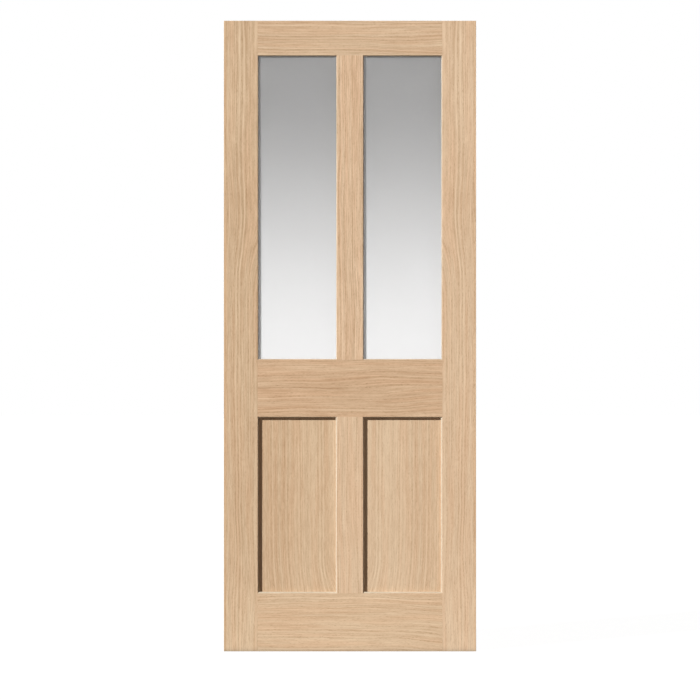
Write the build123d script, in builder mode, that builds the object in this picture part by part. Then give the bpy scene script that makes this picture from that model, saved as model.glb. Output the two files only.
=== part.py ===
from build123d import *
import os

# Glazed interior door leaf: an oak stile-and-rail frame with two tall lights over two flat panels.
# X runs across the leaf from the hinge edge, Y through its thickness with the front face at -Y,
# and Z up from the bottom edge. The origin is the foot of the hinge edge, at mid-thickness.

# Leaf
leaf_width = 813.0
leaf_height = 2032.0
leaf_thickness = 35.0
lipping_thickness = 8.0
outer_arris = 1.0

# Flat faces of the frame members, and of the space for the panels, up to where the chamfers start
stile_face = 109.0
muntin_face = 83.5
top_rail_face = 111.5
lock_rail_face = 183.5
bottom_rail_face = 187.0
panel_space_height = 569.0
stuck_chamfer = 4.5

# Panels, and the groove that holds them and the stub tongues of the joints
panel_thickness = 12.0
groove_depth = 10.0
groove_clearance = 0.15
panel_expansion_gap = 2.0
tongue_end_gap = 0.5
muntin_tongue_shoulder = 5.0

# Glazing, held from the back by mitred beads against a thin front lip
lip_thickness = 6.5
lip_chamfer = 2.5
rebate_width = 12.0
glass_thickness = 4.0
glass_edge_gap = 3.0
tape_thickness = 1.0
tape_set_back = 1.0
bead_clearance = 0.15
bead_chamfer = 5.0
setting_block_length = 60.0
setting_block_clearance = 0.2

# Depths through the thickness
front = -leaf_thickness / 2
back = leaf_thickness / 2
groove_width = panel_thickness + 2 * groove_clearance
tongue_length = groove_depth - tongue_end_gap
lip_back = front + lip_thickness
glass_front = lip_back + tape_thickness
glass_back = glass_front + glass_thickness
bead_front = glass_back + tape_thickness

# Spaces between the faces of the members
space_width = (leaf_width - 2 * stile_face - muntin_face) / 2
left_space = (stile_face, stile_face + space_width)
right_space = (leaf_width - stile_face - space_width, leaf_width - stile_face)
muntin_centre = (left_space[1] + right_space[0]) / 2
bottom_rail_top = bottom_rail_face
lock_rail_bottom = bottom_rail_top + panel_space_height
lock_rail_top = lock_rail_bottom + lock_rail_face
top_rail_bottom = leaf_height - top_rail_face

# Sight lines, where the chamfers end and the panels and panes come into view
stile_sight = stile_face + stuck_chamfer
panel_low = bottom_rail_top + stuck_chamfer
panel_high = lock_rail_bottom - stuck_chamfer
panel_width = space_width - 2 * stuck_chamfer
light_low = lock_rail_top + lip_chamfer
light_high = top_rail_bottom - lip_chamfer
light_width = space_width - 2 * lip_chamfer

# Floors of the glazing rebate, and how far a pane reaches into it
rebate_low = light_low - rebate_width
rebate_high = light_high + rebate_width
pane_overlap = rebate_width - glass_edge_gap

# Tongues of the muntins
lower_tongue_width = muntin_face + 2 * stuck_chamfer - 2 * groove_depth
upper_tongue_width = muntin_face + 2 * lip_chamfer - 2 * (rebate_width + muntin_tongue_shoulder)


def plain_edge(position):
    """Outline of a square edge, from the front face to the back face."""
    return [(position, front), (position, back)]


def stuck_edge(face_edge, outward):
    """Outline of a panelled edge, chamfered at both faces; outward points from the wood into the space."""
    sight = face_edge + outward * stuck_chamfer
    return [
        (face_edge, front),
        (sight, front + stuck_chamfer),
        (sight, back - stuck_chamfer),
        (face_edge, back),
    ]


def rebated_edge(face_edge, outward):
    """Outline of a glazed edge: the chamfered front lip with the rebate behind it."""
    sight = face_edge + outward * lip_chamfer
    floor = sight - outward * rebate_width
    return [
        (face_edge, front),
        (sight, front + lip_chamfer),
        (sight, lip_back),
        (floor, lip_back),
        (floor, back),
    ]


def upright_section(one_edge, other_edge):
    """Section of an upright member between the outlines of its two edges, seen from above."""
    Polygon(*one_edge, *other_edge[::-1])


def level_section(low_edge, high_edge):
    """Section of a level member between the outlines of its two edges, seen from its end."""
    Polygon(*[(depth, height) for height, depth in low_edge + high_edge[::-1]])


def plan_block(one_side, other_side, near, far):
    """Rectangle between two positions across the leaf and two depths through it."""
    with Locations(((one_side + other_side) / 2, (near + far) / 2)):
        Rectangle(abs(other_side - one_side), far - near)


def stile_blank(outer_edge, face_edge, outward):
    """Stile before its groove and rebate are cut."""
    with BuildPart() as blank:
        with BuildSketch(Plane.XY):
            upright_section(plain_edge(outer_edge), stuck_edge(face_edge, outward))
        extrude(amount=leaf_height)
    return blank.part


def rail_blank(low_edge, high_edge):
    """Rail before its groove is cut, with its ends scribed over the chamfers of both stiles."""
    with BuildPart() as blank:
        with BuildSketch(Plane.YZ.offset(stile_face)):
            level_section(low_edge, high_edge)
        extrude(amount=leaf_width - 2 * stile_face)
        add(hinge_stile_blank, mode=Mode.SUBTRACT)
        add(lock_stile_blank, mode=Mode.SUBTRACT)
    return blank.part


def level_groove(floor):
    """Cut the panel groove along a rail, upwards from the given height."""
    with BuildSketch(Plane.XY.offset(floor)) as groove:
        plan_block(0, leaf_width, -groove_width / 2, groove_width / 2)
    extrude(groove.sketch, amount=groove_depth, mode=Mode.SUBTRACT)


def rail_tongues(low, high):
    """Add the stub tongues at both ends of a rail, which fill the grooves of the stiles."""
    end = stile_sight - tongue_length
    with BuildSketch(Plane.XY.offset(low)) as tongues:
        plan_block(end, leaf_width - end, -panel_thickness / 2, panel_thickness / 2)
    extrude(tongues.sketch, amount=high - low)


def muntin_mortise(floor):
    """Cut the mortise for a tongue of the upper muntin, upwards from the given height."""
    with BuildSketch(Plane.XY.offset(floor)) as mortise:
        with Locations((muntin_centre, 0)):
            Rectangle(upper_tongue_width + 2 * groove_clearance, groove_width)
    extrude(mortise.sketch, amount=groove_depth, mode=Mode.SUBTRACT)


def stile(blank, face_edge, outward):
    """Stile with its full-length groove; between the upper rails it is trimmed to its lip and rebated."""
    sight = face_edge + outward * stuck_chamfer
    lip_sight = face_edge + outward * lip_chamfer
    with BuildPart() as member:
        add(blank)
        with BuildSketch(Plane.XY):
            plan_block(sight - outward * groove_depth, sight, -groove_width / 2, groove_width / 2)
        extrude(amount=leaf_height, mode=Mode.SUBTRACT)
        with BuildSketch(Plane.XY.offset(light_low)):
            plan_block(lip_sight, sight, front, back)
        extrude(amount=light_high - light_low, mode=Mode.SUBTRACT)
        with BuildSketch(Plane.XY.offset(rebate_low)):
            plan_block(lip_sight - outward * rebate_width, sight, lip_back, back)
        extrude(amount=rebate_high - rebate_low, mode=Mode.SUBTRACT)
    return member


def lipping(centre, outer_side):
    """Solid edge strip, its two outer corners eased by a small arris."""
    with BuildPart() as strip:
        with BuildSketch(Plane.XY):
            with Locations((centre, 0)):
                Rectangle(lipping_thickness, leaf_thickness)
        extrude(amount=leaf_height)
        outer_corners = strip.edges().filter_by(Axis.Z).sort_by(Axis.X)[outer_side]
        fillet(outer_corners, outer_arris)
    return strip


def panel(centre):
    """Flat panel, held loosely in the grooves on all four sides."""
    overlap = groove_depth - panel_expansion_gap
    with BuildPart() as board:
        with BuildSketch(Plane.XY.offset(panel_low - overlap)):
            with Locations((centre, 0)):
                Rectangle(panel_width + 2 * overlap, panel_thickness)
        extrude(amount=panel_high - panel_low + 2 * overlap)
    return board


def glass_pane(centre):
    """Pane of glass, clear of the rebate by the edge gap on all four sides."""
    with BuildPart() as pane:
        with BuildSketch(Plane.XY.offset(light_low - pane_overlap)):
            with Locations((centre, (glass_front + glass_back) / 2)):
                Rectangle(light_width + 2 * pane_overlap, glass_thickness)
        extrude(amount=light_high - light_low + 2 * pane_overlap)
    return pane


def glazing_tape(centre, rear_face):
    """Ring of tape from near the sight line to the edge of a pane; rear_face is the depth of its back."""
    light_height = light_high - light_low
    inner = 2 * tape_set_back
    outer = 2 * pane_overlap
    with BuildPart() as tape:
        with BuildSketch(Plane.XZ.offset(-rear_face)):
            with Locations((centre, (light_low + light_high) / 2)):
                Rectangle(light_width + outer, light_height + outer)
                Rectangle(light_width + inner, light_height + inner, mode=Mode.SUBTRACT)
        extrude(amount=tape_thickness)
    return tape


def setting_blocks(centre):
    """Pair of blocks that carry a pane a quarter of the way in from each end."""
    depth = bead_front - lip_back - 2 * setting_block_clearance
    with BuildPart() as blocks:
        with BuildSketch(Plane.XY.offset(rebate_low)):
            with Locations((centre, (lip_back + bead_front) / 2)):
                with GridLocations(light_width / 2, 0, 2, 1):
                    Rectangle(setting_block_length, depth)
        extrude(amount=glass_edge_gap)
    return blocks


def glazing_bead(left, right, side):
    """Bead along one side of a light, mitred at both ends and chamfered along its visible edge."""
    reach = rebate_width - bead_clearance
    low, high = light_low, light_high
    inner = {"left_bottom": (left, low), "right_bottom": (right, low)}
    inner.update({"left_top": (left, high), "right_top": (right, high)})
    outer = {"left_bottom": (left - reach, low - reach), "right_bottom": (right + reach, low - reach)}
    outer.update({"left_top": (left - reach, high + reach), "right_top": (right + reach, high + reach)})
    ends = {
        "left": ("left_bottom", "left_top"),
        "right": ("right_bottom", "right_top"),
        "bottom": ("left_bottom", "right_bottom"),
        "top": ("left_top", "right_top"),
    }
    first, last = ends[side]
    run, across = (Axis.Z, Axis.X) if side in ("left", "right") else (Axis.X, Axis.Z)
    with BuildPart() as bead:
        with BuildSketch(Plane.XZ.offset(-back)):
            with BuildLine():
                Polyline(outer[first], outer[last], inner[last], inner[first], close=True)
            make_face()
        extrude(amount=back - bead_front)
        back_edges = bead.edges().filter_by(run).group_by(Axis.Y)[-1].sort_by(across)
        visible_edge = back_edges[-1] if side in ("left", "bottom") else back_edges[0]
        chamfer(visible_edge, bead_chamfer)
    return bead


def save_piece(name, piece):
    """Label a finished piece and write its file."""
    piece.part.label = name
    export_step(piece.part, f"parts/{name}.step")


os.makedirs("parts", exist_ok=True)

# Blanks of the frame, which the joints are scribed to
hinge_stile_blank = stile_blank(lipping_thickness, stile_face, 1)
lock_stile_blank = stile_blank(leaf_width - lipping_thickness, leaf_width - stile_face, -1)
bottom_rail_blank = rail_blank(plain_edge(0), stuck_edge(bottom_rail_top, 1))
lock_rail_blank = rail_blank(stuck_edge(lock_rail_bottom, -1), rebated_edge(lock_rail_top, 1))
top_rail_blank = rail_blank(rebated_edge(top_rail_bottom, -1), plain_edge(leaf_height))

# Stiles and their lippings
save_piece("hinge_stile", stile(hinge_stile_blank, stile_face, 1))
save_piece("lock_stile", stile(lock_stile_blank, leaf_width - stile_face, -1))
save_piece("hinge_edge_lipping", lipping(lipping_thickness / 2, slice(0, 2)))
save_piece("lock_edge_lipping", lipping(leaf_width - lipping_thickness / 2, slice(-2, None)))

# Rails
with BuildPart() as bottom_rail:
    add(bottom_rail_blank)
    rail_tongues(0, panel_low - groove_depth)
    level_groove(panel_low - groove_depth)
save_piece("bottom_rail", bottom_rail)

with BuildPart() as lock_rail:
    add(lock_rail_blank)
    rail_tongues(panel_high + groove_depth, rebate_low)
    level_groove(panel_high)
    muntin_mortise(rebate_low - groove_depth)
save_piece("lock_rail", lock_rail)

with BuildPart() as top_rail:
    add(top_rail_blank)
    rail_tongues(rebate_high, leaf_height)
    muntin_mortise(rebate_high)
save_piece("top_rail", top_rail)

# Muntins, scribed over the chamfers of the rails
with BuildPart() as lower_muntin:
    with BuildSketch(Plane.XY.offset(bottom_rail_top)):
        upright_section(stuck_edge(left_space[1], -1), stuck_edge(right_space[0], 1))
    extrude(amount=panel_space_height)
    with BuildSketch(Plane.XY.offset(bottom_rail_top)):
        with Locations((muntin_centre, 0)):
            with GridLocations(lower_tongue_width + groove_depth, 0, 2, 1):
                Rectangle(groove_depth, groove_width)
    extrude(amount=panel_space_height, mode=Mode.SUBTRACT)
    add(bottom_rail_blank, mode=Mode.SUBTRACT)
    add(lock_rail_blank, mode=Mode.SUBTRACT)
    with BuildSketch(Plane.XY.offset(panel_low - tongue_length)):
        with Locations((muntin_centre, 0)):
            Rectangle(lower_tongue_width, panel_thickness)
    extrude(amount=panel_high - panel_low + 2 * tongue_length)
save_piece("lower_muntin", lower_muntin)

with BuildPart() as upper_muntin:
    with BuildSketch(Plane.XY.offset(rebate_low)):
        upright_section(rebated_edge(left_space[1], -1), rebated_edge(right_space[0], 1))
    extrude(amount=rebate_high - rebate_low)
    add(lock_rail_blank, mode=Mode.SUBTRACT)
    add(top_rail_blank, mode=Mode.SUBTRACT)
    with BuildSketch(Plane.XY.offset(rebate_low - tongue_length)):
        with Locations((muntin_centre, 0)):
            Rectangle(upper_tongue_width, panel_thickness)
    extrude(amount=rebate_high - rebate_low + 2 * tongue_length)
save_piece("upper_muntin", upper_muntin)

# Panels and glazing of each half
for half, (left, right) in (("left", left_space), ("right", right_space)):
    centre = (left + right) / 2
    save_piece(f"{half}_panel", panel(centre))
    save_piece(f"{half}_glass", glass_pane(centre))
    save_piece(f"{half}_front_tape", glazing_tape(centre, glass_front))
    save_piece(f"{half}_back_tape", glazing_tape(centre, bead_front))
    save_piece(f"{half}_setting_blocks", setting_blocks(centre))
    for side in ("left", "right", "bottom", "top"):
        bead = glazing_bead(left + lip_chamfer, right - lip_chamfer, side)
        save_piece(f"{half}_glass_{side}_bead", bead)
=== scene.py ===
"""Studio scene of a glazed oak door leaf.

The file model.glb brings the leaf itself: stiles, rails, muntins, panels, panes, beads, tapes and
setting blocks, each in its place. This script gives every one of them its finish and eases the
edges of the wood. It adds the dabs of stopping over the sunk pins of the glazing beads, and stands
the leaf in a plain white studio, seen square-on from the front.
"""

from __future__ import annotations

import logging
import math
from dataclasses import dataclass, field, replace
from enum import Enum
from typing import Any

import bpy
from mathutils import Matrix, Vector


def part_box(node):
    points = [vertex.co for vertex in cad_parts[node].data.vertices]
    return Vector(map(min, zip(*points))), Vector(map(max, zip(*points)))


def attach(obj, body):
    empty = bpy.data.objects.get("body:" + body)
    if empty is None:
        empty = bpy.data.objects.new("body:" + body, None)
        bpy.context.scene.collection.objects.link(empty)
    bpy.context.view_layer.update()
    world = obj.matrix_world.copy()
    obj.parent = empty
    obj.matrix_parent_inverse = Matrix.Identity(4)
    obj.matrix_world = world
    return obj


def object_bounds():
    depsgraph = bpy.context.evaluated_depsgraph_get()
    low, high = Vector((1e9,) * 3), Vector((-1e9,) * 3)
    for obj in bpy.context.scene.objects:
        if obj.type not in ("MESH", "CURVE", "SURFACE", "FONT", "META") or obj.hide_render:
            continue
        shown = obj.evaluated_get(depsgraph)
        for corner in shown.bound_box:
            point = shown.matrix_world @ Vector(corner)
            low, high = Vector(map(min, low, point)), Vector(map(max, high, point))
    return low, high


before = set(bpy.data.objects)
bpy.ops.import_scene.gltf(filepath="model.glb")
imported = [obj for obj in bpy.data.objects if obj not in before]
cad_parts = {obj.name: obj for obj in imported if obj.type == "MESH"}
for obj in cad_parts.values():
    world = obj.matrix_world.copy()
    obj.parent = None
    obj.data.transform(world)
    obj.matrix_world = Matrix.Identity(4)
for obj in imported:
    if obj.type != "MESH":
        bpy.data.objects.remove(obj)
CAD_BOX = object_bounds()
LOG = logging.getLogger("door_leaf")
MM = 0.001

Tree = bpy.types.NodeTree
Socket = bpy.types.NodeSocket
Colour = tuple[float, float, float, float]
Triple = tuple[float, float, float]
Pair = tuple[float, float]

WHITE: Colour = (1.0, 1.0, 1.0, 1.0)

# A mix node names its sockets for values and for colours alike, so those for colours go by number.
MIX_FIRST, MIX_SECOND, MIX_RESULT = 6, 7, 2


class Grain(Enum):
    """The way the grain of a piece of oak runs."""

    UPRIGHT = "upright"
    LEVEL = "level"


class Side(Enum):
    """The four sides of a light, by the bead that lies along each."""

    LEFT = "left"
    RIGHT = "right"
    BOTTOM = "bottom"
    TOP = "top"

    @property
    def upright(self) -> bool:
        """Whether the bead on this side stands upright."""
        return self in (Side.LEFT, Side.RIGHT)

    @property
    def outer_first(self) -> bool:
        """Whether the outer edge of the bead is the one with the lower coordinate."""
        return self in (Side.LEFT, Side.BOTTOM)


def linear(code: str) -> Colour:
    """Turn an sRGB hex colour into the linear values a shader takes.

    Args:
        code: six hex digits, red first.

    Returns:
        Linear red, green, blue and an alpha of one.
    """
    shares = [int(code[place : place + 2], 16) / 255 for place in (0, 2, 4)]
    # The curve of the sRGB standard, with its straight part near black.
    red, green, blue = (s / 12.92 if s <= 0.04045 else ((s + 0.055) / 1.055) ** 2.4 for s in shares)
    return red, green, blue, 1.0


def scaled(colour: Colour, factor: Triple) -> Colour:
    """Multiply the red, green and blue of a colour, each by its own factor."""
    red, green, blue, alpha = colour
    return red * factor[0], green * factor[1], blue * factor[2], alpha


def add_node(
    tree: Tree, kind: str, inputs: dict[str | int, Any] | None = None, **settings: Any
) -> bpy.types.Node:
    """Add one node with its settings, values and links.

    Args:
        tree: the node tree that takes the node.
        kind: the node's type name, after the word ShaderNode.
        inputs: for each input, by name or number, the socket that feeds it or its value.
        **settings: the node's own properties.

    Returns:
        The new node.
    """
    node = tree.nodes.new(f"ShaderNode{kind}")
    for name, value in settings.items():
        setattr(node, name, value)
    for place, value in (inputs or {}).items():
        if isinstance(value, Socket):
            tree.links.new(value, node.inputs[place])
        else:
            node.inputs[place].default_value = value
    return node


def new_material(name: str) -> tuple[bpy.types.Material, Tree]:
    """Make an empty node material.

    Args:
        name: the material's name.

    Returns:
        The material and its cleared node tree.
    """
    material = bpy.data.materials.new(name)
    material.use_nodes = True
    material.node_tree.nodes.clear()
    return material, material.node_tree


def stain(tree: Tree, colour: Socket, stains: list[tuple[Socket, Triple]]) -> Socket:
    """Lay one stain after another on a colour.

    Args:
        tree: the node tree of the material.
        colour: the colour to start from.
        stains: for each stain, how much of it each place takes, and its factor for the colour.

    Returns:
        The stained colour.
    """
    for share, factor in stains:
        mix = add_node(
            tree,
            "Mix",
            {"Factor": share, MIX_FIRST: colour, MIX_SECOND: (*factor, 1.0)},
            data_type="RGBA",
            blend_type="MULTIPLY",
        )
        colour = mix.outputs[MIX_RESULT]
    return colour


def dress(piece: bpy.types.Object, material: bpy.types.Material) -> None:
    """Give a piece one material all over, and report it.

    Args:
        piece: the piece to dress.
        material: its material.
    """
    piece.data.materials.clear()
    piece.data.materials.append(material)
    LOG.info("%s: %s", piece.name, material.name)


@dataclass(frozen=True)
class SandedArris:
    """The edges of a wooden piece, with their sharpness taken off by sanding.

    Attributes:
        width: width of the eased edge, in metres.
        segments: faces across it.
        least_turn: turn between two faces from which their edge is eased, in radians.
        weld_gap: distance within which the loose corners of a node's mesh are joined, in metres.
    """

    width: float = 0.4 * MM
    segments: int = 2
    least_turn: float = math.radians(30)
    weld_gap: float = 0.001 * MM

    def ease(self, piece: bpy.types.Object) -> None:
        """Ease the sharp edges of a piece with a live bevel.

        Args:
            piece: a closed wooden piece of the construction.
        """
        weld = piece.modifiers.new("weld", "WELD")
        weld.merge_threshold = self.weld_gap
        bevel = piece.modifiers.new("eased edges", "BEVEL")
        bevel.width = self.width
        bevel.segments = self.segments
        bevel.limit_method = "ANGLE"
        bevel.angle_limit = self.least_turn
        bevel.harden_normals = True


@dataclass(frozen=True)
class Opening:
    """The part of a light that the beads leave clear, in metres."""

    left: float
    right: float
    low: float
    high: float

    @classmethod
    def of_light(cls, half: str) -> Opening:
        """Read the opening of a light from the inner sides of its beads.

        Args:
            half: the left or right light.

        Returns:
            The opening.
        """
        return cls(
            left=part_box(f"{half}_glass_left_bead")[1].x,
            right=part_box(f"{half}_glass_right_bead")[0].x,
            low=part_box(f"{half}_glass_bottom_bead")[1].z,
            high=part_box(f"{half}_glass_top_bead")[0].z,
        )

    @property
    def width(self) -> float:
        """Clear width."""
        return self.right - self.left

    @property
    def height(self) -> float:
        """Clear height."""
        return self.high - self.low


@dataclass(frozen=True)
class OakFigure:
    """Measures of the pattern that the boards of this oak share, with lengths in metres.

    They follow real oak. Only the pores are drawn coarser, about three times as wide
    as real ones, which would be too fine to show in the render.
    """

    # Width of a growth ring, and the detail and roughness of the noise that draws the rings.
    ring_width: float = 5.5 * MM
    ring_detail: float = 2.0
    ring_roughness: float = 0.6

    # Width and length of the fine streaks, the broad soft bands, the bands of warmer wood, the
    # sideways swings of the grain and the pores, and the detail of the noise that draws them.
    streak: Pair = (3.8 * MM, 62 * MM)
    cloud: Pair = (24 * MM, 500 * MM)
    warmth: Pair = (15 * MM, 350 * MM)
    swing: Pair = (110 * MM, 420 * MM)
    pore: Pair = (0.9 * MM, 9 * MM)
    streak_detail: float = 2.0
    plain_detail: float = 1.0

    # How much the rings, the streaks and the broad bands lighten and darken a board.
    ring_share: float = 0.66
    streak_share: float = 0.72
    cloud_share: float = 0.42

    # Values of the noise between which wood turns warm, and between which a pore opens.
    warmth_span: Pair = (0.4, 0.65)
    pore_span: Pair = (0.54, 0.7)

    # Values of the rings in late and in early wood, and the share of pores that late wood keeps.
    growth_span: Pair = (0.62, 0.38)
    late_wood_pores: float = 0.25

    # Distances from the heart between which a board pales, and heights between which its foot does.
    drift_span: Pair = (250 * MM, 110 * MM)
    foot_span: Pair = (280 * MM, 80 * MM)


@dataclass(frozen=True)
class OakTints:
    """Factors for the red, green and blue of a board's mean colour.

    Dark oak is redder than pale oak, so blue swings most and red least.
    """

    darkest: Triple = (0.69, 0.60, 0.51)
    palest: Triple = (1.31, 1.40, 1.49)
    warmed: Triple = (1.0, 0.955, 0.93)
    open_pore: Triple = (0.72, 0.66, 0.6)


@dataclass(frozen=True)
class EdgeLightAndFoot:
    """Painted highlight on the chamfers, painted shade in the reveals, and darker wood at the foot.

    A chamfer is known by its slope of 45 degrees to the face. A reveal stands square to the face
    and keeps clear of the outer edges of the leaf.

    Attributes:
        chamfer_tilt: share of a chamfer's normal that points along the thickness of the leaf.
        tilt_slack: how far it may be off.
        chamfer: painted highlight colour for a chamfer, whiter and less yellow than the face, as a
            lit one looks.
        reveal_tilt: most that this share may be on a reveal.
        reveal: painted shade for a reveal, which darkens the recess behind a chamfer.
        outer_margin: distance from the outer edges of the leaf to where reveals start, in metres.
        foot: for each of two shades at the foot of the leaf, its height in metres and its factor.
    """

    chamfer_tilt: float = math.cos(math.pi / 4)
    tilt_slack: float = 0.02
    chamfer: Triple = (0.8, 0.93, 1.07)
    reveal_tilt: float = 0.1
    reveal: Triple = (0.6, 0.66, 0.75)
    outer_margin: float = 30 * MM
    foot: tuple[tuple[float, Triple], ...] = (
        (18 * MM, (0.88, 0.88, 0.89)),
        (7 * MM, (0.74, 0.78, 0.79)),
    )

    def tint(self, tree: Tree, place: Socket, colour: Socket) -> Socket:
        """Paint highlight colour on the chamfers and shade in the reveals, and darken the foot.

        Args:
            tree: the node tree of the material.
            place: position on the leaf.
            colour: the colour of the board.

        Returns:
            The colour with a painted highlight on chamfers and painted shade on reveals, darker at
            the foot.
        """
        surface = add_node(tree, "NewGeometry")
        facing = add_node(tree, "SeparateXYZ", {0: surface.outputs["True Normal"]})
        tilt = add_node(tree, "Math", {0: facing.outputs["Y"]}, operation="ABSOLUTE")
        # Painted highlight: chamfers, sloped at 45 degrees, take a whiter colour, as lit ones look.
        chamfer = add_node(
            tree,
            "Math",
            {0: tilt.outputs[0], 1: self.chamfer_tilt, 2: self.tilt_slack},
            operation="COMPARE",
        )
        # Painted shade: reveals, square to the face and inside the openings, are darkened.
        reveal = add_node(
            tree, "Math", {0: tilt.outputs[0], 1: self.reveal_tilt}, operation="LESS_THAN"
        )
        split = add_node(tree, "SeparateXYZ", {0: place})
        low, high = CAD_BOX
        for axis, start, end in (("X", low.x, high.x), ("Z", low.z, high.z)):
            reach = (end - start) / 2 - self.outer_margin
            within = add_node(
                tree,
                "Math",
                {0: split.outputs[axis], 1: (start + end) / 2, 2: reach},
                operation="COMPARE",
            )
            reveal = add_node(
                tree, "Math", {0: reveal.outputs[0], 1: within.outputs[0]}, operation="MULTIPLY"
            )
        stains = [(chamfer.outputs[0], self.chamfer), (reveal.outputs[0], self.reveal)]
        for top, shade in self.foot:
            below = add_node(
                tree, "MapRange", {"Value": split.outputs["Z"], "From Min": top, "From Max": 0.0}
            )
            stains.append((below.outputs["Result"], shade))
        return stain(tree, colour, stains)


@dataclass(frozen=True)
class MattLacquer:
    """Matt clear lacquer, which gives the eye weak soft highlights and no gloss.

    Attributes:
        roughness: roughness of the flat wood.
        pore_roughness: roughness in the open pores, which the lacquer leaves duller.
        gloss: specular level of the coat, lower than that of a full gloss one.
        relief: height of the grain under the thin coat, in metres.
        relief_strength: how much of that height shows.
    """

    roughness: float = 0.48
    pore_roughness: float = 0.66
    gloss: float = 0.3
    relief: float = 0.12 * MM
    relief_strength: float = 0.25


@dataclass(frozen=True)
class OakFinish:
    """One board of oak, sliced or sawn, sanded and lacquered.

    It gives the eye even, open-pored wood with fine long streaks. Its figure is cut from one solid
    of growth rings, so it runs on over an edge as real wood does.

    Attributes:
        name: the material's name.
        tone: the mean colour of the board.
        grain: the way the grain runs.
        heart: place across the board of the heart of the tree, in metres.
        cut_depth: distance from the heart at which the board was cut, in metres.
        bend_start: place along the grain where the cut starts to leave the heart, in metres.
        bend_end: place along the grain where it has left it, in metres.
        bend_rise: how much further from the heart it then is, in metres.
        slope: sideways run of the grain along the board.
        wander: how far the grain swings from side to side, in metres.
        seed: shift of the noise, so that no two boards are alike.
        contrast: strength of the figure, one for a plain board.
        drift: how much paler the board is near the heart than far from it.
        foot_lift: how much paler an upright board is towards its foot.
        filling: how far lacquer has filled the pores, from none at zero to all at one.
        book_matched: whether the veneer is the mirrored twin of one on the other side of the leaf.
        figure: the measures of its pattern.
        tints: the colours of its pattern.
        edge_light_and_foot: the painted highlight on its chamfers, the painted shade in its
            reveals, and its darker foot.
        lacquer: its coat.
    """

    name: str
    tone: str
    grain: Grain = Grain.UPRIGHT
    heart: float = -0.25
    cut_depth: float = 0.02
    bend_start: float = 0.0
    bend_end: float = 1.0
    bend_rise: float = 0.0
    slope: float = 0.004
    wander: float = 26 * MM
    seed: float = 0.0
    contrast: float = 1.0
    drift: float = 0.0
    foot_lift: float = 0.0
    filling: float = 0.0
    book_matched: bool = False
    figure: OakFigure = OakFigure()
    tints: OakTints = OakTints()
    edge_light_and_foot: EdgeLightAndFoot = EdgeLightAndFoot()
    lacquer: MattLacquer = MattLacquer()

    def material(self) -> bpy.types.Material:
        """Build the material.

        Returns:
            A lacquered oak whose colour, roughness and pores follow the grain.
        """
        material, tree = new_material(self.name)
        place = add_node(tree, "TexCoord").outputs["Object"]
        grain = self._grain_space(tree, place)
        growth = self._growth_space(tree, grain)
        rings = self._rings(tree, growth)
        streaks = self._drawn_out(tree, growth, self.figure.streak, self.figure.streak_detail)
        pores = self._pores(tree, grain, rings)
        lightness = self._lightness(tree, growth, rings, streaks)
        colour = self._colour(tree, growth, lightness, pores)
        coat = self.lacquer
        rough = add_node(
            tree,
            "MapRange",
            {"Value": pores, "To Min": coat.roughness, "To Max": coat.pore_roughness},
        )
        grain_height = add_node(
            tree, "Math", {0: streaks, 1: pores}, operation="SUBTRACT"
        ).outputs[0]
        bump = add_node(
            tree,
            "Bump",
            {"Height": grain_height, "Strength": coat.relief_strength, "Distance": coat.relief},
        )
        shader = add_node(
            tree,
            "BsdfPrincipled",
            {
                "Base Color": self.edge_light_and_foot.tint(tree, place, colour),
                "Roughness": rough.outputs["Result"],
                "Normal": bump.outputs["Normal"],
                "Specular IOR Level": coat.gloss,
            },
        )
        add_node(tree, "OutputMaterial", {"Surface": shader.outputs["BSDF"]})
        return material

    def _grain_space(self, tree: Tree, place: Socket) -> Socket:
        """Lay the directions of the grain over the leaf.

        Args:
            tree: the node tree of the material.
            place: position on the leaf.

        Returns:
            Position with X across the grain, Y through the board and Z along the grain, swung from
            side to side.
        """
        split = add_node(tree, "SeparateXYZ", {0: place})
        across, through, along = (split.outputs[axis] for axis in "XYZ")
        if self.book_matched:
            # Mirrored about the upright middle line of the leaf.
            low, high = CAD_BOX
            across = add_node(
                tree, "Math", {0: low.x + high.x, 1: across}, operation="SUBTRACT"
            ).outputs[0]
        if self.grain is Grain.LEVEL:
            across, along = along, across
        straight = add_node(tree, "CombineXYZ", {0: across, 1: through, 2: along})
        swing = self._drawn_out(tree, straight.outputs[0], self.figure.swing)
        for run, amount in ((along, self.slope), (swing, self.wander)):
            across = add_node(
                tree, "Math", {0: run, 1: amount, 2: across}, operation="MULTIPLY_ADD"
            ).outputs[0]
        swung = add_node(tree, "CombineXYZ", {0: across, 1: through, 2: along})
        return swung.outputs[0]

    def _drawn_out(
        self, tree: Tree, grain: Socket, cell: Pair, detail: float = OakFigure.plain_detail
    ) -> Socket:
        """Make noise that is drawn out along the grain.

        Args:
            tree: the node tree of the material.
            grain: position in the directions of the grain, or of the growth.
            cell: width and length of a cell of the noise, in metres.
            detail: how many finer layers it has.

        Returns:
            A value from zero to one, about one half in the mean.
        """
        width, length = cell
        stretched = add_node(
            tree,
            "Mapping",
            {
                "Vector": grain,
                "Location": (self.seed, self.seed, self.seed),
                "Scale": (1 / width, 1 / width, 1 / length),
            },
        )
        noise = add_node(
            tree, "TexNoise", {"Vector": stretched.outputs[0], "Scale": 1.0, "Detail": detail}
        )
        return noise.outputs["Fac"]

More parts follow.
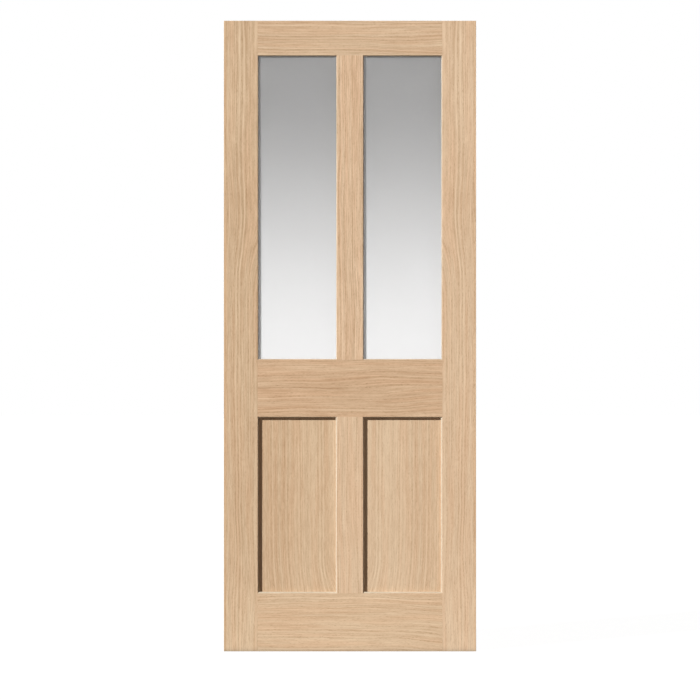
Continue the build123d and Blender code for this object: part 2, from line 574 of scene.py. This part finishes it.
    def _growth_space(self, tree: Tree, grain: Socket) -> Socket:
        """Measure the board out from the heart of the tree.

        Args:
            tree: the node tree of the material.
            grain: position in the directions of the grain.

        Returns:
            Position with X out from the heart. Its lines are straight far out and arch near the
            heart.
        """
        split = add_node(tree, "SeparateXYZ", {0: grain})
        across, through, along = (split.outputs[axis] for axis in "XYZ")
        sideways = add_node(tree, "Math", {0: across, 1: self.heart}, operation="SUBTRACT")
        depth = add_node(
            tree,
            "MapRange",
            {
                "Value": along,
                "From Min": self.bend_start,
                "From Max": self.bend_end,
                "To Min": self.cut_depth,
                "To Max": self.cut_depth + self.bend_rise,
            },
            interpolation_type="SMOOTHSTEP",
        )
        inward = add_node(tree, "Math", {0: depth.outputs["Result"], 1: through}, operation="ADD")
        spoke = add_node(tree, "CombineXYZ", {0: sideways.outputs[0], 1: inward.outputs[0]})
        radius = add_node(tree, "VectorMath", {0: spoke.outputs[0]}, operation="LENGTH")
        growth = add_node(tree, "CombineXYZ", {0: radius.outputs["Value"], 1: through, 2: along})
        return growth.outputs[0]

    def _rings(self, tree: Tree, growth: Socket) -> Socket:
        """Grow the rings, each a little lighter or darker than the next.

        Args:
            tree: the node tree of the material.
            growth: position with X out from the heart.

        Returns:
            A value from zero in early wood to one in late wood.
        """
        split = add_node(tree, "SeparateXYZ", {0: growth})
        rings = add_node(
            tree,
            "TexNoise",
            {
                "W": split.outputs["X"],
                "Scale": 1 / self.figure.ring_width,
                "Detail": self.figure.ring_detail,
                "Roughness": self.figure.ring_roughness,
            },
            noise_dimensions="1D",
        )
        return rings.outputs["Fac"]

    def _pores(self, tree: Tree, grain: Socket, rings: Socket) -> Socket:
        """Open short pores, crowded in the early wood of each ring.

        Args:
            tree: the node tree of the material.
            grain: position in the directions of the grain.
            rings: the growth rings.

        Returns:
            A value of one in an open pore and zero between pores.
        """
        cells = self._drawn_out(tree, grain, self.figure.pore)
        shut, wide = self.figure.pore_span
        opened = add_node(
            tree,
            "MapRange",
            {"Value": cells, "From Min": shut, "From Max": wide, "To Max": 1 - self.filling},
        )
        late, early = self.figure.growth_span
        fewest = self.figure.late_wood_pores
        crowded = add_node(
            tree,
            "MapRange",
            {"Value": rings, "From Min": late, "From Max": early, "To Min": fewest},
        )
        pores = add_node(
            tree,
            "Math",
            {0: opened.outputs["Result"], 1: crowded.outputs["Result"]},
            operation="MULTIPLY",
        )
        return pores.outputs[0]

    def _lightness(self, tree: Tree, growth: Socket, rings: Socket, streaks: Socket) -> Socket:
        """Add up all that lightens and darkens the board.

        Args:
            tree: the node tree of the material.
            growth: position with X out from the heart.
            rings: the growth rings.
            streaks: the fine streaks.

        Returns:
            A value from zero in the darkest wood to one in the palest.
        """
        figure, middle = self.figure, 0.5
        lightness: float | Socket = middle
        clouds = self._drawn_out(tree, growth, figure.cloud)
        for pattern, share in (
            (rings, figure.ring_share),
            (streaks, figure.streak_share),
            (clouds, figure.cloud_share),
        ):
            centred = add_node(tree, "Math", {0: pattern, 1: middle}, operation="SUBTRACT")
            lightness = add_node(
                tree,
                "Math",
                {0: centred.outputs[0], 1: share * self.contrast, 2: lightness},
                operation="MULTIPLY_ADD",
            ).outputs[0]
        split = add_node(tree, "SeparateXYZ", {0: growth})
        for axis, (far, near), least, share in (
            ("X", figure.drift_span, -middle, self.drift),
            ("Z", figure.foot_span, 0.0, self.foot_lift),
        ):
            pale = add_node(
                tree,
                "MapRange",
                {
                    "Value": split.outputs[axis],
                    "From Min": far,
                    "From Max": near,
                    "To Min": least,
                    "To Max": least + 1.0,
                },
                interpolation_type="SMOOTHSTEP",
            )
            lightness = add_node(
                tree,
                "Math",
                {0: pale.outputs["Result"], 1: share, 2: lightness},
                operation="MULTIPLY_ADD",
            ).outputs[0]
        return lightness

    def _colour(self, tree: Tree, growth: Socket, lightness: Socket, pores: Socket) -> Socket:
        """Colour the board by its figure.

        Args:
            tree: the node tree of the material.
            growth: position with X out from the heart.
            lightness: zero in the darkest wood, one in the palest.
            pores: the open pores.

        Returns:
            The mean colour, lightened and darkened, warmed in long bands and darker in the pores.
        """
        mean = linear(self.tone)
        shade = add_node(
            tree,
            "Mix",
            {
                "Factor": lightness,
                MIX_FIRST: scaled(mean, self.tints.darkest),
                MIX_SECOND: scaled(mean, self.tints.palest),
            },
            data_type="RGBA",
        )
        bands = self._drawn_out(tree, growth, self.figure.warmth)
        plain, warm = self.figure.warmth_span
        warmth = add_node(tree, "MapRange", {"Value": bands, "From Min": plain, "From Max": warm})
        stains = [(warmth.outputs["Result"], self.tints.warmed), (pores, self.tints.open_pore)]
        return stain(tree, shade.outputs[MIX_RESULT], stains)


@dataclass(frozen=True)
class SatinGlassFinish:
    """Toughened float glass with an acid-etched satin face.

    It gives the eye a soft glow and no clear image, because the etch scatters what lies behind it.

    Attributes:
        name: the material's name.
        tint: the colour of the glass, which is nearly clear.
        clear_share: share of the light that passes; the etch scatters the rest back.
        roughness: mean roughness of the etch.
        ior: index of refraction of float glass.
        etch_cell: width of the faint unevenness of the etch, in metres. It is drawn far coarser
            than the real one, which would be too fine to show in the render.
        etch_detail: how many finer layers it has.
        etch_swing: how far it moves the roughness up and down.
    """

    name: str = "toughened float glass, satin etched"
    tint: str = "F4F4F4"
    clear_share: float = 0.8
    roughness: float = 0.3
    ior: float = 1.52
    etch_cell: float = 4 * MM
    etch_detail: float = 2.0
    etch_swing: float = 0.03

    def material(self) -> bpy.types.Material:
        """Build the material.

        Returns:
            Rough glass with a small diffuse share, its etch varied over a few millimetres.
        """
        material, tree = new_material(self.name)
        place = add_node(tree, "TexCoord").outputs["Object"]
        etch = add_node(
            tree,
            "TexNoise",
            {"Vector": place, "Scale": 1 / self.etch_cell, "Detail": self.etch_detail},
        )
        rough = add_node(
            tree,
            "MapRange",
            {
                "Value": etch.outputs["Fac"],
                "To Min": self.roughness - self.etch_swing,
                "To Max": self.roughness + self.etch_swing,
            },
        )
        shader = add_node(
            tree,
            "BsdfPrincipled",
            {
                "Base Color": linear(self.tint),
                "Roughness": rough.outputs["Result"],
                "IOR": self.ior,
                "Transmission Weight": self.clear_share,
            },
        )
        add_node(tree, "OutputMaterial", {"Surface": shader.outputs["BSDF"]})
        return material


@dataclass(frozen=True)
class DullFinish:
    """Moulded rubber, foamed rubber or dried filler.

    It gives the eye a dull, faintly mottled surface with a fine skin.

    Attributes:
        name: the material's name.
        colour: its mean colour.
        cell: width of the mottle, in metres.
        mottle_detail: how many finer layers it has.
        mottle: how far it lightens and darkens the colour.
        roughness: roughness of the skin.
        skin: height of the skin's fine relief, in metres.
        skin_strength: how much of that height shows.
    """

    name: str
    colour: str
    cell: float = 0.8 * MM
    mottle_detail: float = 3.0
    mottle: float = 0.15
    roughness: float = 0.75
    skin: float = 0.1 * MM
    skin_strength: float = 0.3

    def material(self) -> bpy.types.Material:
        """Build the material.

        Returns:
            A dull material with a mottled skin.
        """
        material, tree = new_material(self.name)
        place = add_node(tree, "TexCoord").outputs["Object"]
        cells = add_node(
            tree,
            "TexNoise",
            {"Vector": place, "Scale": 1 / self.cell, "Detail": self.mottle_detail},
        ).outputs["Fac"]
        mean = linear(self.colour)
        dark, pale = 1 - self.mottle, 1 + self.mottle
        shade = add_node(
            tree,
            "Mix",
            {
                "Factor": cells,
                MIX_FIRST: scaled(mean, (dark, dark, dark)),
                MIX_SECOND: scaled(mean, (pale, pale, pale)),
            },
            data_type="RGBA",
        )
        bump = add_node(
            tree, "Bump", {"Height": cells, "Strength": self.skin_strength, "Distance": self.skin}
        )
        shader = add_node(
            tree,
            "BsdfPrincipled",
            {
                "Base Color": shade.outputs[MIX_RESULT],
                "Roughness": self.roughness,
                "Normal": bump.outputs["Normal"],
            },
        )
        add_node(tree, "OutputMaterial", {"Surface": shader.outputs["BSDF"]})
        return material


def oak_boards() -> dict[str, OakFinish]:
    """Choose the board that each wooden piece is cut from.

    Returns:
        The finish of each piece, by its node.
    """
    # Book-matched veneers: upright streaks that lean inwards in long arches above the lock rail,
    # where the cut leaves the heart.
    hinge_stile = OakFinish(
        "oak veneer, hinge stile",
        "D1B594",
        heart=0.141,
        cut_depth=0.008,
        bend_start=1.0,
        bend_end=1.42,
        bend_rise=0.06,
        seed=247.78,
        contrast=1.15,
        foot_lift=0.17,
    )
    lock_stile = replace(
        hinge_stile,
        name="oak veneer, lock stile",
        tone="DABE9E",
        contrast=0.9,
        foot_lift=0.09,
        book_matched=True,
    )
    # Straight-grained veneers laid level: long calm streaks that wander a little.
    top_rail = OakFinish(
        "oak veneer, top rail",
        "D4B898",
        Grain.LEVEL,
        heart=2.2,
        slope=0.02,
        wander=42 * MM,
        seed=771.55,
        contrast=1.08,
    )
    lock_rail = replace(
        top_rail,
        name="oak veneer, lock rail",
        tone="D1B291",
        heart=0.6,
        slope=-0.02,
        seed=6.04,
        contrast=0.97,
    )
    bottom_rail = replace(
        top_rail,
        name="oak veneer, bottom rail",
        tone="DABE9D",
        heart=-0.2,
        seed=510.85,
        contrast=0.79,
    )
    # Straight-grained veneers set upright.
    upper_muntin = OakFinish(
        "oak veneer, upper muntin", "D9BC9C", heart=0.1, seed=458.71, contrast=1.35
    )
    lower_muntin = OakFinish(
        "oak veneer, lower muntin", "DBBF9F", heart=0.75, seed=117.43, contrast=0.9
    )
    # Book-matched boards with their heart behind the lower muntin and partly filled pores: short
    # soft streaks, palest beside the muntin, that lean in to it near the foot.
    left_panel = OakFinish(
        "oak veneered board, left panel",
        "D2B695",
        heart=0.402,
        cut_depth=0.01,
        bend_start=0.34,
        bend_end=0.15,
        bend_rise=0.055,
        wander=16 * MM,
        seed=382.87,
        contrast=0.86,
        drift=0.12,
        filling=0.2,
        figure=OakFigure(streak=(3.8 * MM, 36 * MM)),
    )
    right_panel = replace(
        left_panel,
        name="oak veneered board, right panel",
        tone="D8BD9D",
        contrast=0.72,
        drift=0.11,
        book_matched=True,
    )
    # Solid strips: straight upright streaks that run round the arrises.
    hinge_lip = OakFinish("solid oak, hinge edge", "D2B38F", heart=-0.21, slope=0.006, seed=1.7)
    lock_lip = OakFinish("solid oak, lock edge", "DDBE9B", heart=1.12, slope=-0.005, seed=5.1)
    return {
        "hinge_stile": hinge_stile,
        "lock_stile": lock_stile,
        "top_rail": top_rail,
        "lock_rail": lock_rail,
        "bottom_rail": bottom_rail,
        "upper_muntin": upper_muntin,
        "lower_muntin": lower_muntin,
        "left_panel": left_panel,
        "right_panel": right_panel,
        "hinge_edge_lipping": hinge_lip,
        "lock_edge_lipping": lock_lip,
    }


@dataclass
class Joinery:
    """The wooden frame, its panels and its lippings."""

    boards: dict[str, OakFinish] = field(default_factory=oak_boards)
    arris: SandedArris = SandedArris()

    def build(self) -> None:
        """Dress each member, panel and lipping in its own board, and ease its edges."""
        for node, board in self.boards.items():
            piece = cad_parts[node]
            dress(piece, board.material())
            self.arris.ease(piece)


@dataclass(frozen=True)
class GlazingMaterials:
    """The materials of a light, which the two lights share."""

    pane: bpy.types.Material
    tape: bpy.types.Material
    block: bpy.types.Material
    upright_bead: bpy.types.Material
    level_bead: bpy.types.Material
    stopping: bpy.types.Material

    @classmethod
    def build(cls) -> GlazingMaterials:
        """Build the materials.

        Returns:
            Satin glass, pale foam, dark rubber, oak of both directions and a darker filler.
        """
        upright = OakFinish("solid oak, upright beads", "D4B391", heart=-0.3, seed=41.0)
        level = replace(upright, name="solid oak, level beads", grain=Grain.LEVEL, seed=45.0)
        return cls(
            pane=SatinGlassFinish().material(),
            # Pale grey foam: a thin dull line round the pane.
            tape=DullFinish("closed-cell foam glazing tape", "C4C3BF").material(),
            # Black rubber: dark ends under the pane.
            block=DullFinish("moulded rubber setting block", "2A2A2A").material(),
            upright_bead=upright.material(),
            level_bead=level.material(),
            # Dried filler is a shade darker than the bead: small dull spots.
            stopping=DullFinish("wood stopping over sunk pins", "B08A5E").material(),
        )


@dataclass
class GlazedLight:
    """One glazed light: its pane, tapes, blocks and beads, and the stopping over their pins.

    Attributes:
        half: the left or right light.
        materials: the materials of its pieces.
        bead_arris: the eased edges of its beads.
        pin_spacing: distance between pins that is aimed at, in metres.
        pin_end_margin: distance from the end of a bead to its first pin, in metres.
        pin_inset: place of the pins across a bead, as a share of its width from its outer edge.
        dab_radius: radius of a dab of stopping, in metres.
        dab_rise: how far a dab stands proud of the bead, in metres.
        dab_sides: sides of a dab.
        rim_share: share of its rise over which the rim of a dab is rounded.
        rim_segments: faces across that rounding.
        rim_turn: turn between two faces from which their edge counts as the rim, in radians.
    """

    half: str
    materials: GlazingMaterials
    bead_arris: SandedArris = SandedArris()
    pin_spacing: float = 170 * MM
    pin_end_margin: float = 45 * MM
    pin_inset: float = 0.3
    dab_radius: float = 1.1 * MM
    dab_rise: float = 0.12 * MM
    dab_sides: int = 16
    rim_share: float = 0.8
    rim_segments: int = 3
    rim_turn: float = math.radians(60)

    def build(self) -> None:
        """Dress the light's pieces and stop the pin holes of its beads."""
        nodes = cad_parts
        dress(nodes[f"{self.half}_glass"], self.materials.pane)
        for tape in ("front_tape", "back_tape"):
            dress(nodes[f"{self.half}_{tape}"], self.materials.tape)
        dress(nodes[f"{self.half}_setting_blocks"], self.materials.block)
        for side in Side:
            bead = nodes[f"{self.half}_glass_{side.value}_bead"]
            oak = self.materials.upright_bead if side.upright else self.materials.level_bead
            dress(bead, oak)
            self.bead_arris.ease(bead)
        self._stop_pin_holes()

    def _pin_places(self) -> list[Vector]:
        """Space the pins evenly along the flat back of each bead.

        Returns:
            The place of each pin, on the back of its bead.
        """
        places = []
        for side in Side:
            low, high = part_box(f"{self.half}_glass_{side.value}_bead")
            start, end = (low.z, high.z) if side.upright else (low.x, high.x)
            start, end = start + self.pin_end_margin, end - self.pin_end_margin
            gaps = max(1, round((end - start) / self.pin_spacing))
            inset = self.pin_inset if side.outer_first else 1 - self.pin_inset
            for step in range(gaps + 1):
                along = start + (end - start) * step / gaps
                if side.upright:
                    places.append(Vector((low.x + inset * (high.x - low.x), high.y, along)))
                else:
                    places.append(Vector((along, high.y, low.z + inset * (high.z - low.z))))
        return places

    def _model_dab(self, place: Vector) -> bpy.types.Object:
        """Model one dab of stopping: a low round button with a rounded rim, half of it sunk.

        Args:
            place: the middle of the dab, on the back of a bead.

        Returns:
            The dab, with its place in its mesh.
        """
        bpy.ops.object.select_all(action="DESELECT")
        bpy.ops.mesh.primitive_cylinder_add(
            vertices=self.dab_sides,
            radius=self.dab_radius,
            depth=2 * self.dab_rise,
            location=place,
            rotation=(math.pi / 2, 0, 0),
        )
        dab = bpy.context.object
        bpy.ops.object.mode_set(mode="EDIT")
        bpy.ops.mesh.select_all(action="DESELECT")
        bpy.ops.mesh.edges_select_sharp(sharpness=self.rim_turn)
        bpy.ops.mesh.bevel(offset=self.rim_share * self.dab_rise, segments=self.rim_segments)
        bpy.ops.object.mode_set(mode="OBJECT")
        bpy.ops.object.transform_apply(location=True, rotation=True, scale=True)
        bpy.ops.object.shade_smooth()
        return dab

    def _stop_pin_holes(self) -> None:
        """Repeat one dab of stopping over every pin of the light, and join the dabs."""
        first, *others = self._pin_places()
        dab = self._model_dab(first)
        dabs = [dab]
        for place in others:
            copy = dab.copy()
            copy.data = dab.data.copy()
            copy.location = place - first
            bpy.context.scene.collection.objects.link(copy)
            dabs.append(copy)
        for copy in dabs:
            copy.select_set(True)
        bpy.context.view_layer.objects.active = dab
        bpy.ops.object.transform_apply(location=True, rotation=True, scale=True)
        bpy.ops.object.join()
        stopping = bpy.context.object
        stopping.name = f"{self.half}_bead_stopping"
        dress(stopping, self.materials.stopping)
        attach(stopping, "root")
        LOG.info("stopped %d pin holes in the %s light", len(dabs), self.half)


@dataclass(frozen=True)
class GradedScreen:
    """Graded screen just behind one pane, seen only through it.

    Its glow, grey at the top and white at the foot, is painted light seen through the glass, and it
    carries a painted shadow of the frame, which keeps the light off the glass, along its left and
    upper sides.

    Attributes:
        half: the left or right light.
        gap: distance from the pane to the screen, in metres.
        top_glow: strength of the glow at the top of the grade.
        foot_glow: strength of the glow at its foot.
        top_inset: how far below the top of the light the grade starts, as a share of its height.
        foot_overrun: how far below the foot of the light it ends, as a share of its height.
        shadow_across: width of the painted shadow of the frame on the left, in metres.
        shadow_down: height of the painted shadow of the frame at the top, in metres.
        shadow_softness: half the distance over which the painted shadow fades, in metres.
        shadow_glow: strength of the glow left in the painted shadow.
        shadow_lift: share of the grade that still shows in the painted shadow.
    """

    half: str
    gap: float = 0.4 * MM
    top_glow: float = 0.03
    foot_glow: float = 1.0
    top_inset: float = 0.04
    foot_overrun: float = 0.02
    shadow_across: float = 9.1 * MM
    shadow_down: float = 5.6 * MM
    shadow_softness: float = 1.8 * MM
    shadow_glow: float = 0.11
    shadow_lift: float = 0.12

    def build(self) -> None:
        """Make the screen, and show it through the glass alone."""
        light = Opening.of_light(self.half)
        behind_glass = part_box(f"{self.half}_glass")[1].y + self.gap
        bpy.ops.object.select_all(action="DESELECT")
        bpy.ops.mesh.primitive_plane_add(size=1, rotation=(math.pi / 2, 0, 0))
        screen = bpy.context.object
        screen.name = f"{self.half}_graded_screen"
        screen.scale = (light.width, light.height, 1)
        middle, mid_height = (light.left + light.right) / 2, (light.low + light.high) / 2
        screen.location = (middle, behind_glass, mid_height)
        bpy.ops.object.transform_apply(location=True, rotation=True, scale=True)
        dress(screen, self._material(light))
        screen.visible_camera = False
        screen.visible_diffuse = False
        screen.visible_glossy = False
        screen.visible_shadow = False

    def _material(self, light: Opening) -> bpy.types.Material:
        """Build the glow of the screen.

        Args:
            light: the opening that it fills.

        Returns:
            A white glow, graded from top to foot, with a painted shadow of the frame on two sides.
        """
        material, tree = new_material(f"graded studio screen, {self.half}")
        place = add_node(tree, "TexCoord").outputs["Object"]
        split = add_node(tree, "SeparateXYZ", {0: place})
        grade = add_node(
            tree,
            "MapRange",
            {
                "Value": split.outputs["Z"],
                "From Min": light.high - self.top_inset * light.height,
                "From Max": light.low - self.foot_overrun * light.height,
                "To Min": self.top_glow,
                "To Max": self.foot_glow,
            },
            interpolation_type="SMOOTHSTEP",
        ).outputs["Result"]
        # Painted shadow of the frame: the glow is weak along the left and upper sides of the pane.
        inner_side = light.left + self.shadow_across
        under_side = light.high - self.shadow_down
        soft = self.shadow_softness
        shadow_edges = [
            add_node(
                tree,
                "MapRange",
                {"Value": split.outputs[axis], "From Min": clear, "From Max": dark},
                interpolation_type="SMOOTHSTEP",
            ).outputs["Result"]
            for axis, clear, dark in (
                ("X", inner_side + soft, inner_side - soft),
                ("Z", under_side - soft, under_side + soft),
            )
        ]
        margin = add_node(tree, "Math", dict(enumerate(shadow_edges)), operation="MAXIMUM")
        weak = add_node(
            tree,
            "Math",
            {0: grade, 1: self.shadow_lift, 2: self.shadow_glow},
            operation="MULTIPLY_ADD",
        )
        strength = add_node(
            tree,
            "MapRange",
            {"Value": margin.outputs[0], "To Min": grade, "To Max": weak.outputs[0]},
        )
        glow = add_node(tree, "Emission", {"Color": WHITE, "Strength": strength.outputs["Result"]})
        add_node(tree, "OutputMaterial", {"Surface": glow.outputs[0]})
        return material


@dataclass(frozen=True)
class Lamp:
    """A far-off lamp.

    Attributes:
        name: the lamp's name.
        direction: the way from the leaf to the lamp.
        strength: its strength.
        spread: how wide it looks from the leaf, in radians; a wide lamp casts soft shadows.
        distance: how far from the origin its mark stands, in metres.
    """

    name: str
    direction: Triple
    strength: float
    spread: float
    distance: float = 5.0

    def build(self) -> None:
        """Put the lamp in the scene, shining on the leaf."""
        lamp = bpy.data.lights.new(self.name, "SUN")
        lamp.energy = self.strength
        lamp.angle = self.spread
        towards_lamp = Vector(self.direction)
        holder = bpy.data.objects.new(self.name, lamp)
        holder.location = towards_lamp.normalized() * self.distance
        holder.rotation_euler = towards_lamp.to_track_quat("Z", "Y").to_euler()
        bpy.context.scene.collection.objects.link(holder)


@dataclass(frozen=True)
class Studio:
    """White studio: pale floor, graded screens behind the glass, lamps and camera.

    Attributes:
        lamps: a key lamp from the upper left, and a soft one across from it for the back and the
            right edge.
        fill_strength: strength of the even fill.
        fill_tint: colour of the fill.
        floor_size: side of the floor, in metres.
        floor_drop: how far the floor lies under the leaf, in metres.
        floor_paint: colour of the floor, which takes the shadow.
        floor_glow: strength of the floor's own glow, which keeps it white.
        glow_share: share of the glow in the look of the floor.
        lens: focal length of the camera, in millimetres.
        camera_height: height of the camera above the foot of the leaf, in metres.
        view_width: width of the picture at the front face of the leaf, in metres.
        view_reach: how far the camera sees, in metres.
    """

    lamps: tuple[Lamp, ...] = (
        Lamp("key", (-1.28, -1.0, 0.97), 5.04, math.radians(1.5)),
        Lamp("back", (1.05, 1.0, 0.3), 4.2, math.radians(25)),
    )
    fill_strength: float = 0.13
    fill_tint: str = "FFE3CC"
    floor_size: float = 60.0
    floor_drop: float = 1 * MM
    floor_paint: str = "F2F2F0"
    floor_glow: float = 1.065
    glow_share: float = 0.9
    lens: float = 135.0
    camera_height: float = 0.971
    view_width: float = 2.2556
    view_reach: float = 100.0

    def build(self) -> None:
        """Make the world, floor, screens, lamps and camera."""
        self._world()
        self._floor()
        for half in ("left", "right"):
            GradedScreen(half).build()
        for lamp in self.lamps:
            lamp.build()
        self._camera()
        bpy.context.scene.view_settings.view_transform = "Standard"
        LOG.info("studio ready")

    def _world(self) -> None:
        """White to the eye, in gloss and through glass, and a weak even fill for diffuse light."""
        world = bpy.data.worlds.new("white studio")
        bpy.context.scene.world = world
        world.use_nodes = True
        tree = world.node_tree
        tree.nodes.clear()
        path = add_node(tree, "LightPath")
        seen = path.outputs["Is Camera Ray"]
        for ray in ("Is Glossy Ray", "Is Transmission Ray"):
            seen = add_node(
                tree, "Math", {0: seen, 1: path.outputs[ray]}, operation="MAXIMUM"
            ).outputs[0]
        strength = self.fill_strength
        fill = scaled(linear(self.fill_tint), (strength, strength, strength))
        light = add_node(
            tree, "Mix", {"Factor": seen, MIX_FIRST: fill, MIX_SECOND: WHITE}, data_type="RGBA"
        )
        sky = add_node(tree, "Background", {"Color": light.outputs[MIX_RESULT], "Strength": 1.0})
        add_node(tree, "OutputWorld", {"Surface": sky.outputs[0]})

    def _floor(self) -> None:
        """Pale floor just under the leaf, which shows white but keeps a faint shadow."""
        low, high = CAD_BOX
        bpy.ops.object.select_all(action="DESELECT")
        bpy.ops.mesh.primitive_plane_add(
            size=self.floor_size, location=((low.x + high.x) / 2, 0, -self.floor_drop)
        )
        floor = bpy.context.object
        floor.name = "floor"
        material, tree = new_material("pale studio floor")
        paint = add_node(tree, "BsdfDiffuse", {"Color": linear(self.floor_paint)})
        glow = add_node(tree, "Emission", {"Color": WHITE, "Strength": self.floor_glow})
        both = add_node(
            tree, "MixShader", {0: self.glow_share, 1: paint.outputs[0], 2: glow.outputs[0]}
        )
        add_node(tree, "OutputMaterial", {"Surface": both.outputs[0]})
        dress(floor, material)
        floor.visible_diffuse = False
        floor.visible_glossy = False
        floor.visible_transmission = False

    def _camera(self) -> None:
        """Long lens on the leaf's centre line, square-on to its front face."""
        camera = bpy.data.cameras.new("camera")
        camera.lens = self.lens
        camera.clip_end = self.view_reach
        distance = self.view_width * camera.lens / camera.sensor_width
        low, high = CAD_BOX
        holder = bpy.data.objects.new("camera", camera)
        holder.location = ((low.x + high.x) / 2, low.y - distance, self.camera_height)
        holder.rotation_euler = (math.pi / 2, 0, 0)
        bpy.context.scene.collection.objects.link(holder)
        bpy.context.scene.camera = holder


def main() -> None:
    """Dress the leaf and set up the studio."""
    Joinery().build()
    materials = GlazingMaterials.build()
    for half in ("left", "right"):
        GlazedLight(half, materials).build()
    Studio().build()


if __name__ == "__main__":
    logging.basicConfig(level=logging.INFO, format="%(name)s: %(message)s")
    main()
